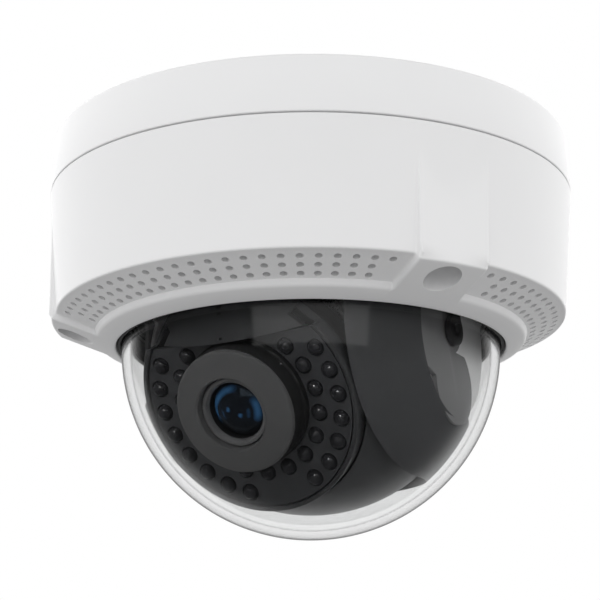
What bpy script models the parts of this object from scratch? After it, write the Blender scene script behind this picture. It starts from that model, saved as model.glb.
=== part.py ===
"""Ceiling dome camera with a clear bubble, modelled as the separate pieces it is assembled from.

Metres, +Z up into the ceiling. The origin is the centre of the face that lies on the
ceiling, and the front of the camera is towards -Y. Lengths in this file are in
millimetres and are scaled by MM where a mesh is made. An azimuth is counted from -Y
towards +X. Pieces that turn hang from an empty that sits on their own joint axis.
"""
import math

import bmesh
import bpy
from mathutils import Matrix, Vector

MM = 0.001

# Facets round a turned piece: large rings, stages, lens pieces, small trim, screws
WIDE = 48
MIDDLE = 24
NARROW = 16
SMALL = 14
FASTENER = 8

# Whole object
HEIGHT = 84.0
SEAM_R = 55.5
SEAM_Z = -12.0
LUG_AZIMUTHS = (30.0, 150.0, 270.0)
BETWEEN_AZIMUTHS = (90.0, 210.0, 330.0)

# Cover
WALL_FOOT_R = 53.6
LUG_FACE = 54.45
LUG_WIDTH = 15.65
OPENING_R = 40.8
SHELF_Z = -41.2
SCREW_R = 49.8
RECESS_R = 3.7
SEAT_Z = -26.5

# Bubble and the ball behind it, which share one centre
BALL_Z = -44.27
BUBBLE_OUT = HEIGHT + BALL_Z
BUBBLE_IN = BUBBLE_OUT - 1.8
LINER_OUT = 36.7
LINER_IN = 35.4
SLOT_HALF = 23.45
LINER_SIDE_R = 17.5
LINER_SIDE_BACK = 2.0
LINER_LEFT_TOP = -13.0
SHELL_OUT = 34.3
SHELL_IN = 32.9

# Lens module, measured along its optical axis from the ball's centre
PAN_AT_REST = -30.0
TILT_AT_REST = 32.3
PLATE_R = 23.2
PLATE_FRONT = 28.9
LED_FACE = 28.6
CHORD = 13.2
LED_R = 1.45
LED_TIP = 29.9
OUTER_RING = (19.7, -83.8, 22.9, 14.55, 8)
INNER_RING = (15.1, 40.8, 19)
SHIELD_R = 12.5
SHIELD_BORE = 7.15
SHIELD_SPHERE = 36.9
LENS_R = 4.9

# Inside the base
CABLE_HOLE = (0.0, 33.0)
BOARD_R = 43.0
BOARD_LOW = -9.4
BOARD_HIGH = -7.9
CARD_AT = (17.0, -29.4)
CARD_TURN = 30.0


def clear_scene():
    for obj in list(bpy.data.objects):
        bpy.data.objects.remove(obj, do_unlink=True)


clear_scene()
parts = bpy.data.collections.new("dome_camera")
bpy.context.scene.collection.children.link(parts)
tools = bpy.data.collections.new("cutters")
bpy.context.scene.collection.children.link(tools)
tools.hide_render = True


def material(name, colour, roughness, metallic=0.0, alpha=1.0):
    mat = bpy.data.materials.new(name)
    mat.use_nodes = True
    shader = mat.node_tree.nodes["Principled BSDF"]
    shader.inputs["Base Color"].default_value = (*colour, 1.0)
    shader.inputs["Roughness"].default_value = roughness
    shader.inputs["Metallic"].default_value = metallic
    shader.inputs["Alpha"].default_value = alpha
    mat.diffuse_color = (*colour, alpha)
    return mat


def empty(name, location, rotation, parent=None):
    obj = bpy.data.objects.new(name, None)
    obj.empty_display_size = 0.01
    parts.objects.link(obj)
    obj.parent = parent
    obj.location = Vector(location) * MM
    obj.rotation_euler = [math.radians(angle) for angle in rotation]
    return obj


def add(name, mesh, mat, parent, location=(0, 0, 0), rotation=(0, 0, 0)):
    """Adds the mesh as a piece, or as a hidden cutter when it has no material."""
    obj = bpy.data.objects.new(name, mesh)
    obj.parent = parent
    obj.location = Vector(location) * MM
    obj.rotation_euler = [math.radians(angle) for angle in rotation]
    if mat is None:
        tools.objects.link(obj)
        obj.hide_render = True
        obj.display_type = "WIRE"
        return obj
    parts.objects.link(obj)
    mesh.materials.append(mat)
    return obj


def turned(name, profile, mat=None, parent=None, steps=24, location=(0, 0, 0), rotation=(0, 0, 0)):
    """A body turned about its local Z. The profile runs down its outer side and back up inside."""
    on_axis = profile[0][0] == 0 and profile[-1][0] == 0
    count = len(profile)
    edges = [(i, i + 1) for i in range(count - 1)]
    if not on_axis:
        edges.append((count - 1, 0))
    mesh = bpy.data.meshes.new(name)
    mesh.from_pydata([(r * MM, 0, z * MM) for r, z in profile], edges, [])
    obj = add(name, mesh, mat, parent, location, rotation)
    spin = obj.modifiers.new("turn", "SCREW")
    spin.axis = "Z"
    spin.angle = math.tau
    spin.screw_offset = 0
    spin.steps = steps
    spin.render_steps = steps
    spin.use_merge_vertices = True
    spin.merge_threshold = 0.00001
    spin.use_smooth_shade = True
    return obj


def boxes(name, cells, mat=None, parent=None, location=(0, 0, 0), rotation=(0, 0, 0)):
    """Boxes in one mesh. Each cell gives its low corner, its high corner and a turn about Z."""
    mesh = bpy.data.meshes.new(name)
    bm = bmesh.new()
    for low, high, turn in cells:
        low = Vector(low)
        high = Vector(high)
        size = Matrix.Diagonal(((high - low) * MM).to_4d())
        middle = Matrix.Translation((low + high) / 2 * MM)
        bmesh.ops.create_cube(bm, size=1, matrix=Matrix.Rotation(math.radians(turn), 4, "Z") @ middle @ size)
    bm.to_mesh(mesh)
    bm.free()
    return add(name, mesh, mat, parent, location, rotation)


def pillars(name, radius, low, high, places, sides, mat=None, parent=None, location=(0, 0, 0),
            rotation=(0, 0, 0), top_radius=None):
    """Round bars along Z in one mesh, one at each (x, y)."""
    mesh = bpy.data.meshes.new(name)
    bm = bmesh.new()
    for x, y in places:
        middle = Matrix.Translation(Vector((x, y, (low + high) / 2)) * MM)
        bmesh.ops.create_cone(bm, cap_ends=True, segments=sides, radius1=radius * MM,
                              radius2=(top_radius or radius) * MM, depth=(high - low) * MM, matrix=middle)
    bm.to_mesh(mesh)
    bm.free()
    return add(name, mesh, mat, parent, location, rotation)


def prism(name, outline, low, high, mat=None, parent=None, location=(0, 0, 0), rotation=(0, 0, 0)):
    """A plate: the outline in local XY, counter-clockwise, from low to high in Z."""
    mesh = bpy.data.meshes.new(name)
    bm = bmesh.new()
    face = bm.faces.new([bm.verts.new(Vector((x, y, low)) * MM) for x, y in outline])
    raised = bmesh.ops.extrude_face_region(bm, geom=[face])["geom"]
    lift = Vector((0, 0, high - low)) * MM
    bmesh.ops.translate(bm, vec=lift, verts=[item for item in raised if isinstance(item, bmesh.types.BMVert)])
    bmesh.ops.recalc_face_normals(bm, faces=bm.faces)
    bm.to_mesh(mesh)
    bm.free()
    return add(name, mesh, mat, parent, location, rotation)


def boolean(obj, operation, *others):
    for other in others:
        modifier = obj.modifiers.new(operation.lower() + " " + other.name, "BOOLEAN")
        modifier.operation = operation
        modifier.solver = "EXACT"
        modifier.object = other


def at(radius, azimuth):
    angle = math.radians(azimuth)
    return (radius * math.sin(angle), -radius * math.cos(angle))


def arc(radius, start, end, count, centre_z=0.0):
    """Profile points on a circle about (0, centre_z). 90 is the top of the ball and -90 the bottom."""
    found = []
    for i in range(count + 1):
        angle = math.radians(start + (end - start) * i / count)
        found.append((radius * math.cos(angle), centre_z + radius * math.sin(angle)))
    return found


def ball(name, radius, mat=None, parent=None, location=(0, 0, 0)):
    """A solid ball, which cuts or is cut."""
    profile = arc(radius, 90, -90, 12)
    profile[0] = (0, radius)
    profile[-1] = (0, -radius)
    return turned(name, profile, mat, parent, 36, location)


def screw_up(name, place, head_r, head, shaft_r, tip, mat, parent=None, steps=FASTENER):
    """A screw driven upwards: head is its (low, high), and tip is the top of its shaft."""
    depth = (head[1] - head[0]) * 0.55
    drive_r = head_r / 2
    profile = [(0, tip), (shaft_r, tip), (shaft_r, head[1]), (head_r, head[1]), (head_r, head[0]),
               (drive_r, head[0]), (drive_r, head[0] + depth), (0, head[0] + depth)]
    return turned(name, profile, mat, parent, steps, (*place, 0))


def screw_down(name, place, head_r, head, shaft_r, tip, mat, parent=None, steps=FASTENER):
    """A screw driven downwards: head is its (low, high), and tip is the bottom of its shaft."""
    depth = (head[1] - head[0]) * 0.55
    drive_r = head_r / 2
    profile = [(0, head[1] - depth), (drive_r, head[1] - depth), (drive_r, head[1]), (head_r, head[1]),
               (head_r, head[0]), (shaft_r, head[0]), (shaft_r, tip), (0, tip)]
    return turned(name, profile, mat, parent, steps, (*place, 0))


# --- materials ----------------------------------------------------------------------------
white = material("white_paint", (0.83, 0.83, 0.83), 0.5)
rubber = material("black_rubber", (0.012, 0.012, 0.013), 0.7)
clear = material("clear_polycarbonate", (0.93, 0.95, 0.96), 0.05, alpha=0.3)
grey = material("light_grey_plastic", (0.42, 0.43, 0.44), 0.5)
dark = material("dark_plastic", (0.035, 0.036, 0.038), 0.45)
led_resin = material("led_board_black", (0.03, 0.03, 0.033), 0.35)
shield_rubber = material("dark_grey_rubber", (0.05, 0.05, 0.052), 0.75)
anodised = material("black_anodised", (0.06, 0.06, 0.065), 0.4, metallic=0.6)
lens_glass = material("coated_glass", (0.03, 0.06, 0.12), 0.03, alpha=0.6)
laminate = material("green_laminate", (0.02, 0.13, 0.06), 0.45)
zinc = material("zinc_steel", (0.55, 0.55, 0.56), 0.35, metallic=1.0)
brass = material("brass", (0.65, 0.48, 0.2), 0.35, metallic=1.0)
connector = material("ivory_nylon", (0.7, 0.68, 0.6), 0.55)
silicon = material("sensor_package", (0.05, 0.07, 0.09), 0.15)

# --- joint empties ------------------------------------------------------------------------
cover_pull = empty("cover_pull", (0, 0, 0), (0, 0, 0))
pan_pivot = empty("pan_pivot", (0, 0, 0), (0, 0, PAN_AT_REST))
tilt_pivot = empty("tilt_pivot", (0, 0, BALL_Z), (90 + TILT_AT_REST, 0, 0), pan_pivot)
roll_pivot = empty("roll_pivot", (0, 0, 0), (0, 0, 0), tilt_pivot)
card_pull = empty("card_pull", (*CARD_AT, BOARD_LOW), (0, 0, CARD_TURN))

lug_places = [at(SCREW_R, azimuth) for azimuth in LUG_AZIMUTHS]
ceiling_screw_places = [at(38, azimuth) for azimuth in BETWEEN_AZIMUTHS]
clamp_screw_places = [at(47.6, azimuth) for azimuth in BETWEEN_AZIMUTHS]
board_screw_places = [at(29, azimuth) for azimuth in (0, 120, 240)]
seat_screw_places = [at(22.2, azimuth) for azimuth in (60, 180, 300)]
yoke_screw_places = [(-18, 0), (18, 0)]
lens_screw_places = [(-7, -7), (7, 7)]


# --- base: the part that stays on the ceiling ------------------------------------------------
def build_base():
    base = turned("mounting_base", [(0, 0), (54.2, 0), (54.85, -0.4), (55.0, -1.1), (SEAM_R, SEAM_Z + 0.3),
                                    (SEAM_R - 0.15, SEAM_Z), (51.8, SEAM_Z), (51.8, -15.2), (50.2, -15.2),
                                    (50.0, -3.0), (0, -3.0)], white, steps=WIDE)
    # Bosses for the cover screws, posts for the circuit board
    bosses = pillars("base_bosses", 4.3, SEAM_Z + 0.25, -1.5, lug_places, SMALL)
    posts = pillars("board_posts", 3.0, BOARD_HIGH + 0.2, -1.5, board_screw_places, SMALL)
    boolean(base, "UNION", bosses, posts)
    boolean(base, "DIFFERENCE",
            pillars("insert_pockets", 2.6, -17, -4.3, lug_places, SMALL),
            pillars("post_holes", 1.25, -9, -4.0, board_screw_places, FASTENER),
            pillars("ceiling_screw_holes", 2.3, -4, 1, ceiling_screw_places, SMALL),
            pillars("cable_hole", 6.6, -4, 1, [CABLE_HOLE], NARROW),
            pillars("seat_screw_holes", 1.15, -4, -0.8, seat_screw_places, FASTENER))

    turned("cable_grommet", [(6.3, -0.3), (6.3, -3.2), (8.0, -3.2), (8.0, -4.6), (3.5, -4.6), (3.5, -0.3)],
           rubber, steps=NARROW, location=(*CABLE_HOLE, 0))
    turned("cover_seal", [(52.1, -13.4), (52.75, -13.4), (52.75, -14.6), (52.1, -14.6)], rubber, steps=WIDE)

    for number, place in enumerate(lug_places, 1):
        turned(f"threaded_insert_{number}", [(2.4, -4.6), (2.4, -11.6), (1.75, -11.6), (1.75, -4.6)],
               brass, steps=SMALL, location=(*place, 0))

    board = turned("main_board", [(25, BOARD_HIGH), (BOARD_R, BOARD_HIGH), (BOARD_R, BOARD_LOW), (25, BOARD_LOW)],
                   laminate, steps=MIDDLE)
    boolean(board, "DIFFERENCE",
            boxes("board_notches", [((-5, -50, -12), (5, -32.5, -5), azimuth) for azimuth in BETWEEN_AZIMUTHS]),
            boxes("board_cable_gap", [((-8.8, 20, -12), (8.8, 50, -5), 0)]),
            pillars("board_holes", 1.4, -11, -6, board_screw_places, FASTENER))
    for number, place in enumerate(board_screw_places, 1):
        screw_up(f"board_screw_{number}", place, 2.2, (BOARD_LOW - 1.7, BOARD_LOW - 0.2), 1.0, -4.4, zinc)

    socket = boxes("card_socket", [((-6.6, -7.2, -2.1), (7.6, 7.2, -0.2), 0)], zinc, card_pull)
    boolean(socket, "DIFFERENCE", boxes("card_slot", [((-5.2, -5.8, -1.65), (20, 5.8, -0.55), 0)], None, card_pull))
    boxes("memory_card", [((-4.9, -5.5, -1.45), (9.8, 5.5, -0.75), 0)], dark, card_pull)

    switch_at = at(36, 270)
    switch = boxes("reset_switch", [((-3.0, -3.0, -13.2), (3.0, 3.0, BOARD_LOW - 0.2), 0)], dark, None,
                   (*switch_at, 0))
    boolean(switch, "DIFFERENCE", pillars("switch_well", 1.8, -15, -11.6, [(0, 0)], SMALL, None, None, (*switch_at, 0)))
    pillars("reset_button", 1.5, -14.6, -12.3, [(0, 0)], SMALL, connector, None, (*switch_at, 0))

    plug = boxes("network_header", [((-7.5, -3.2, -14.4), (7.5, 3.2, BOARD_LOW - 0.2), 0)], connector, None,
                 (*at(34, 300), 0), (0, 0, -60))
    boolean(plug, "DIFFERENCE", boxes("header_well", [((-6.5, -2.2, -16), (6.5, 2.2, -10.6), 0)], None, None,
                                      (*at(34, 300), 0), (0, 0, -60)))
    terminal = boxes("power_terminal", [((-5.0, -4.0, -14.4), (5.0, 4.0, BOARD_LOW - 0.2), 0)], connector, None,
                     (*at(35, 140), 0), (0, 0, 140))
    boolean(terminal, "DIFFERENCE", boxes("terminal_ports", [((-3.9, -5, -13.4), (-0.8, 2.4, -10.8), 0),
                                                             ((0.8, -5, -13.4), (3.9, 2.4, -10.8), 0)],
                                          None, None, (*at(35, 140), 0), (0, 0, 140)))

    seat = turned("pan_seat", [(18.5, -3.2), (24, -3.2), (24, -5.0), (20.5, -5.0), (20.5, -15.2), (30, -15.2),
                               (30, -17.6), (12.2, -17.6), (12.2, -15.8), (18.5, -15.8)], grey, steps=MIDDLE)
    boolean(seat, "DIFFERENCE", pillars("seat_holes", 1.2, -6, -2, seat_screw_places, FASTENER))
    for number, place in enumerate(seat_screw_places, 1):
        screw_up(f"seat_screw_{number}", place, 1.6, (-6.6, -5.2), 0.9, -1.1, zinc)


# --- cover: pulls down off the base, with the bubble ----------------------------------------
def build_cover():
    cover = turned("cover_shell", [(55.45, SEAM_Z - 0.3), (WALL_FOOT_R, -37.2), (53.4, -37.85), (52.8, -38.3),
                                   (45.4, -41.6), (44.95, -42.6), (44.3, -43.25), (43.4, -43.65), (41.1, -44.6),
                                   (OPENING_R, -44.4), (OPENING_R, SHELF_Z), (44.2, SHELF_Z), (44.2, -39.8),
                                   (50.9, -37.0), (51.4, -36.4), (53.2, SEAM_Z - 0.3)], white, cover_pull, WIDE)
    # Three lugs: a flat outer face, and a pad that carries the inner ring's cone out to the wall
    lugs = turned("lug_ring", [(54.2, -15), (55.1, -15), (55.1, -39.11), (43.6, -43.57), (43.6, -42.0),
                               (45.4, -40.6), (52.2, -37.2)], None, cover_pull, 2 * WIDE)
    half = LUG_WIDTH / 2
    boolean(lugs, "INTERSECT", boxes("lug_cells", [((-half, -LUG_FACE, -50), (half, -38, -10), azimuth)
                                                   for azimuth in LUG_AZIMUTHS], None, cover_pull))
    tubes = pillars("cover_tubes", 4.55, -39.0, -15.6, lug_places, SMALL, None, cover_pull)
    studs = pillars("clamp_posts", 2.6, -39.0, -37.1, clamp_screw_places, SMALL, None, cover_pull)
    boolean(cover, "UNION", lugs, tubes, studs)
    boolean(cover, "DIFFERENCE",
            pillars("screw_recesses", RECESS_R, -50, SEAT_Z, lug_places, NARROW, None, cover_pull),
            pillars("screw_ways", 2.1, -30, -10, lug_places, SMALL, None, cover_pull),
            pillars("clamp_screw_holes", 1.25, -39.4, -30, clamp_screw_places, FASTENER, None, cover_pull))

    turned("dome_gasket", [(39.9, -40.25), (44.0, -40.25), (44.0, -41.05), (40.65, -41.05), (40.65, -44.3),
                           (39.9, -44.3)], rubber, cover_pull, WIDE)
    outer = arc(BUBBLE_OUT, 0, -90, 7, BALL_Z)
    inner = arc(BUBBLE_IN, -90, 0, 6, BALL_Z)
    outer[-1] = (0, -HEIGHT)
    inner[0] = (0, BALL_Z - BUBBLE_IN)
    bubble = [(0, BALL_Z - BUBBLE_IN)] + inner[1:] + [(BUBBLE_IN, -38.5), (44.0, -38.5), (44.0, -40.1),
                                                      (BUBBLE_OUT, -40.1)] + outer
    turned("dome_bubble", bubble, clear, cover_pull, WIDE)

    ring = turned("clamp_ring", [(39.9, -35.4), (43.9, -35.4), (43.9, -38.35), (39.9, -38.35)], grey,
                  cover_pull, WIDE)
    ears = boxes("clamp_ears", [((-3.4, -50.0, -36.9), (3.4, -41, -35.4), azimuth)
                                for azimuth in BETWEEN_AZIMUTHS], None, cover_pull)
    boolean(ring, "UNION", ears)
    boolean(ring, "DIFFERENCE", pillars("ear_holes", 1.3, -40, -30, clamp_screw_places, FASTENER, None, cover_pull))
    for number, place in enumerate(clamp_screw_places, 1):
        screw_down(f"clamp_screw_{number}", place, 1.9, (-35.2, -33.8), 0.95, -39.1, zinc, cover_pull)
    for number, place in enumerate(lug_places, 1):
        turned(f"screw_seal_{number}", [(2.1, SEAT_Z - 0.15), (3.4, SEAT_Z - 0.15), (3.4, SEAT_Z - 0.85),
                                        (2.1, SEAT_Z - 0.85)], rubber, cover_pull, SMALL, (*place, 0))
        screw_up(f"cover_screw_{number}", place, 3.3, (-30.6, SEAT_Z - 1.0), 1.6, -5.2, zinc, cover_pull, SMALL)


# --- pan stage: turns about the vertical axis -----------------------------------------------
def build_pan():
    table = turned("pan_turntable", [(7, -13.2), (11.8, -13.2), (11.8, -14.0), (10.6, -14.0), (10.6, -15.3),
                                     (11.8, -15.3), (11.8, -18.0), (30, -18.0), (30, -20.2), (7, -20.2)],
                   grey, pan_pivot, MIDDLE)
    boolean(table, "DIFFERENCE", pillars("table_holes", 1.45, -22, -17, yoke_screw_places, FASTENER, None, pan_pivot))
    clip = turned("pan_clip", [(10.9, -14.15), (15.5, -14.15), (15.5, -15.15), (10.9, -15.15)], zinc,
                  pan_pivot, NARROW)
    boolean(clip, "DIFFERENCE", boxes("clip_gap", [((-2.5, 0, -17), (2.5, 20, -12), 0)], None, pan_pivot))

    # A bent strap: a bridge under the turntable and an arm down each side of the ball
    yoke = boxes("yoke", [((-32.0, -12.5, -22.0), (32.0, 12.5, -20.5), 0)], grey, pan_pivot)
    arm = [(0, 12.5)] + [(12.5 * math.sin(math.radians(a)), 12.5 * math.cos(math.radians(a)))
                         for a in range(15, 180, 15)] + [(0, -12.5)]
    arm += [(BALL_Z + 21.0, -12.5), (BALL_Z + 21.0, 12.5)]
    for side, low, high in (("left", -32.0, -30.5), ("right", 30.5, 32.0)):
        boolean(yoke, "UNION", prism(f"yoke_arm_{side}", arm[::-1], low, high, None, pan_pivot,
                                     (0, 0, BALL_Z), (0, 90, 0)))
    boolean(yoke, "DIFFERENCE",
            pillars("yoke_pivot_holes", 2.1, -40, 40, [(0, 0)], SMALL, None, pan_pivot, (0, 0, BALL_Z), (0, 90, 0)),
            pillars("yoke_screw_holes", 1.45, -24, -19, yoke_screw_places, FASTENER, None, pan_pivot))
    for number, place in enumerate(yoke_screw_places, 1):
        screw_up(f"yoke_screw_{number}", place, 2.6, (-23.6, -22.2), 1.2, -18.4, zinc, pan_pivot)

    # Black liner, open at the top, with the slot that the lens module tilts in
    centre = (0, 0, BALL_Z)
    liner = ball("ball_liner", LINER_OUT, dark, pan_pivot, centre)
    boolean(liner, "DIFFERENCE",
            ball("liner_hollow", LINER_IN, None, pan_pivot, centre),
            boxes("liner_open_top", [((-60, -60, 4), (60, 60, 60), 0)], None, pan_pivot, centre),
            boxes("liner_slot", [((-SLOT_HALF, -60, -60), (SLOT_HALF, 24, 20), 0)], None, pan_pivot, centre),
            boxes("liner_left_cut", [((-60, -60, LINER_LEFT_TOP), (-22, 60, 10), 0)], None, pan_pivot, centre),
            pillars("liner_side_holes", LINER_SIDE_R, -60, 60, [(0, LINER_SIDE_BACK)], MIDDLE, None, pan_pivot,
                    centre, (0, 90, 0)))


# --- tilt stage: turns about the line between the yoke's arms ---------------------------------
def build_tilt():
    bracket = prism("tilt_bracket", [(30, 12), (-30, 12), (-30, -6.5), (-28.6, -6.5), (-28.6, 10.5), (28.6, 10.5),
                                     (28.6, -6.5), (30, -6.5)], -7, 7, zinc, tilt_pivot, (0, 0, 0), (90, 0, 0))
    boolean(bracket, "UNION", pillars("bracket_disc", 19.5, 10.45, 12.05, [(0, 0)], MIDDLE, None, tilt_pivot))
    boolean(bracket, "DIFFERENCE",
            pillars("bracket_bore", 15.3, 5, 20, [(0, 0)], MIDDLE, None, tilt_pivot),
            pillars("bracket_pivot_holes", 1.75, -40, 40, [(0, 0)], SMALL, None, tilt_pivot, (0, 0, 0), (0, 90, 0)))

    shell = ball("module_shell", SHELL_OUT, dark, tilt_pivot)
    hollow = ball("shell_hollow", SHELL_IN, None, tilt_pivot)
    boolean(hollow, "INTERSECT", boxes("hollow_width", [((-21.7, -50, -50), (21.7, 50, 50), 0)], None, tilt_pivot))
    boolean(shell, "INTERSECT", boxes("shell_extent", [((-23.2, -50, -20), (23.2, 6, 50), 0)], None, tilt_pivot))
    boolean(shell, "UNION", pillars("shell_bosses", 4.0, -28.3, 28.3, [(0, 0)], SMALL, None, tilt_pivot, (0, 0, 0),
                                    (0, 90, 0)))
    boolean(shell, "DIFFERENCE", hollow,
            pillars("shell_front", PLATE_R + 0.35, 8, 50, [(0, 0)], MIDDLE, None, tilt_pivot),
            boxes("shell_bracket_gap", [((-40, -7.3, 8), (40, 7.3, 50), 0)], None, tilt_pivot),
            pillars("shell_pivot_holes", 1.45, -40, 40, [(0, 0)], SMALL, None, tilt_pivot, (0, 0, 0), (0, 90, 0)))

    for side, turn in (("left", -90), ("right", 90)):
        turned(f"tilt_screw_{side}", [(0, 33.0), (1.0, 33.0), (1.0, 33.6), (3.2, 33.6), (3.2, 32.3), (1.9, 32.3),
                                      (1.9, 30.3), (1.2, 30.3), (1.2, 24.5), (0, 24.5)], zinc, tilt_pivot, SMALL,
               (0, 0, 0), (0, turn, 0))


# --- lens module: turns about the optical axis -------------------------------------------------
def led_places():
    radius, gap_at, half_gap, pitch, count = OUTER_RING
    angles = [gap_at + side * (half_gap + pitch * i) for side in (-1, 1) for i in range(count)]
    found = [(radius, angle) for angle in angles]
    radius, first, count = INNER_RING
    found += [(radius, first + 360 / count * i) for i in range(count)]
    places = []
    for radius, angle in found:
        x = radius * math.cos(math.radians(angle))
        y = radius * math.sin(math.radians(angle))
        if y < CHORD - LED_R - 0.8:
            places.append((x, y))
    return places


def build_module():
    housing = turned("led_housing", [(22.35, PLATE_FRONT), (PLATE_R, PLATE_FRONT), (PLATE_R, 25.2), (18.2, 15.6),
                                     (18.2, 12.4), (15.0, 12.4), (15.0, 10.2), (14.2, 10.2), (14.2, 9.0),
                                     (15.0, 9.0), (15.0, 8.0), (8.0, 8.0), (8.0, 14.0), (16.4, 14.0),
                                     (16.4, 15.9), (21.0, 24.7), (21.0, 26.9), (22.35, 26.9)], dark,
                     roll_pivot, MIDDLE)
    # Above the chord the housing is a piece of the ball, closing the top of the light board
    crown_arc = arc(SHELL_OUT, 90, 48.2, 4)
    crown_arc[0] = (0, SHELL_OUT)
    crown = turned("housing_crown", crown_arc + [(crown_arc[-1][0], 25.3), (0, 25.3)], None, roll_pivot, MIDDLE)
    boolean(crown, "INTERSECT", boxes("crown_side", [((-40, CHORD, 20), (40, 40, 50), 0)], None, roll_pivot))
    outside_arc = arc(SHELL_OUT, 30, 90, 6)
    outside_arc[-1] = (0, SHELL_OUT)
    outside = turned("outside_ball", [(0, 42), (34, 42), (34, outside_arc[0][1])] + outside_arc, None,
                     roll_pivot, MIDDLE)
    boolean(outside, "INTERSECT", boxes("rim_side", [((-40, CHORD, 20), (40, 40, 50), 0)], None, roll_pivot))
    boolean(housing, "UNION", crown)
    boolean(housing, "DIFFERENCE", outside,
            boxes("snap_slots", [((-2.7, 20.9, 26.2), (2.7, 22.0, 40), turn) for turn in (-48, 48)], None,
                  roll_pivot),
            pillars("housing_screw_holes", 0.95, 12.8, 20, lens_screw_places, FASTENER, None, roll_pivot))

    board = turned("led_board", [(7.6, LED_FACE), (22.1, LED_FACE), (22.1, 27.2), (7.6, 27.2)], led_resin,
                   roll_pivot, MIDDLE)
    boolean(board, "DIFFERENCE", boxes("board_chord", [((-40, CHORD - 0.3, 20), (40, 40, 40), 0)], None, roll_pivot))
    boolean(board, "UNION", pillars("led_bodies", LED_R, 28.0, LED_TIP, led_places(), 6, None, roll_pivot,
                                    top_radius=0.85))

    top = [(r, math.sqrt(SHIELD_SPHERE ** 2 - r * r)) for r in (SHIELD_BORE, 9.0, 11.0, 12.2)]
    turned("light_shield", top + [(SHIELD_R, top[-1][1] - 0.35), (SHIELD_R, 28.9), (SHIELD_BORE, 28.9)],
           shield_rubber, roll_pivot, MIDDLE)
    holder = turned("lens_holder", [(7.2, 26.6), (8.2, 26.6), (8.2, 18.4), (11.5, 18.4), (11.5, 16.9),
                                    (7.2, 16.9)], dark, roll_pivot, NARROW)
    boolean(holder, "DIFFERENCE", pillars("holder_holes", 0.95, 16, 30, lens_screw_places, FASTENER, None, roll_pivot))
    turned("lens_barrel", [(0, 31.0), (5.4, 31.0), (5.4, 34.0), (6.9, 34.0), (6.9, 17.9), (0, 17.9)], anodised,
           roll_pivot, NARROW)
    turned("lens_trim_ring", [(5.15, 34.8), (6.85, 34.8), (6.85, 34.2), (5.15, 34.2)], shield_rubber,
           roll_pivot, NARROW)
    turned("front_lens", [(0, 34.9), (1.7, 34.75), (3.3, 34.2), (4.4, 33.4), (LENS_R, 32.6), (LENS_R, 31.3),
                          (0, 31.3)], lens_glass, roll_pivot, NARROW)
    board = boxes("sensor_board", [((-10, -10, 15.0), (10, 10, 16.4), 0)], laminate, roll_pivot)
    boolean(board, "DIFFERENCE", pillars("sensor_board_holes", 0.95, 12, 20, lens_screw_places, FASTENER, None,
                                         roll_pivot))
    boxes("image_sensor", [((-3.8, -3.2, 16.55), (3.8, 3.2, 17.5), 0)], silicon, roll_pivot)
    for number, place in enumerate(lens_screw_places, 1):
        screw_down(f"lens_screw_{number}", place, 1.4, (18.6, 19.7), 0.75, 13.0, zinc, roll_pivot)
    clip = turned("roll_clip", [(14.35, 10.1), (17.2, 10.1), (17.2, 9.15), (14.35, 9.15)], zinc, roll_pivot, MIDDLE)
    boolean(clip, "DIFFERENCE", boxes("roll_clip_gap", [((-2.5, 0, 5), (2.5, 22, 12), 0)], None, roll_pivot))


build_base()
build_cover()
build_pan()
build_tilt()
build_module()
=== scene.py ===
"""Looks for the ceiling dome camera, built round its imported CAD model.

Shapes are worked out in millimetres and scaled to metres when a piece is made. An azimuth is
counted from -Y towards +X. The lens module's shapes are made about its own optical axis and then
placed by LENS, whose local X is the tilt axis, Y points up the face and Z looks out of the lens.
"""
import math

import bmesh
import bpy
from mathutils import Matrix, Vector


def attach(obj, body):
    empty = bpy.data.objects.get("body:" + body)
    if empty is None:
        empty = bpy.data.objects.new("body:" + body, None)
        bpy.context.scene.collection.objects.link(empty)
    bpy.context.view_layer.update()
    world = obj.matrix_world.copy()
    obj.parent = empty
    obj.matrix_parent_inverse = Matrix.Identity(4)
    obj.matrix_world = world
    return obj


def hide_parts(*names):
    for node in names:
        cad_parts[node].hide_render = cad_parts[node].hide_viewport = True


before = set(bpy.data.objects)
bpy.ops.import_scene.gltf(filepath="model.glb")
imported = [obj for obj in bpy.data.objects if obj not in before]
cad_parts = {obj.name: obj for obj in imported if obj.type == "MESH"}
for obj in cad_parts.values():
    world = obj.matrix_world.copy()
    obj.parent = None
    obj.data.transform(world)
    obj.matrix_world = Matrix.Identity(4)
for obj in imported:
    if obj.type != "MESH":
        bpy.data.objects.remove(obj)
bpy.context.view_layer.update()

MM = 0.001

# Whole object
SEAM_R = 55.5
SEAM_Z = -12.0
LUGS = (30.0, 150.0, 270.0)
BETWEEN = (90.0, 210.0, 330.0)
LUG_FACE = 54.45
LUG_HALF = 7.82
SCREW_R = 49.8
CABLE_Y = 33.0
BALL_Z = -44.27
HEIGHT = 84.0
BUBBLE_OUT = HEIGHT + BALL_Z
BUBBLE_IN = BUBBLE_OUT - 1.8

# Lens module
CHORD = 13.2
GLASS_R = 5.7
PLATE_R = 23.2
LED_FACE = 28.6
SHELL_OUT = 34.6
SHELL_IN = 32.9
SHELL_HALF = 23.2
BAFFLE_R = 36.9
# Radius, then in degrees the middle of the gap, half the gap and the pitch, and the lamps on each side
OUTER_RING = (19.7, -83.8, 22.9, 14.55, 8)
# Radius, angle of the first lamp and number of lamps
INNER_RING = (15.1, 40.8, 19)

# Liner and yoke
LINER_OUT = 36.7
LINER_IN = 35.4
SLOT_HALF = 23.45
SLOT_END_Y = 0.2
CHEEK_R = 16.9
CHEEK_IN = 30.45
CHEEK_OUT = 31.25
ARM_IN = 31.3
ARM_OUT = 32.3

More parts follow.
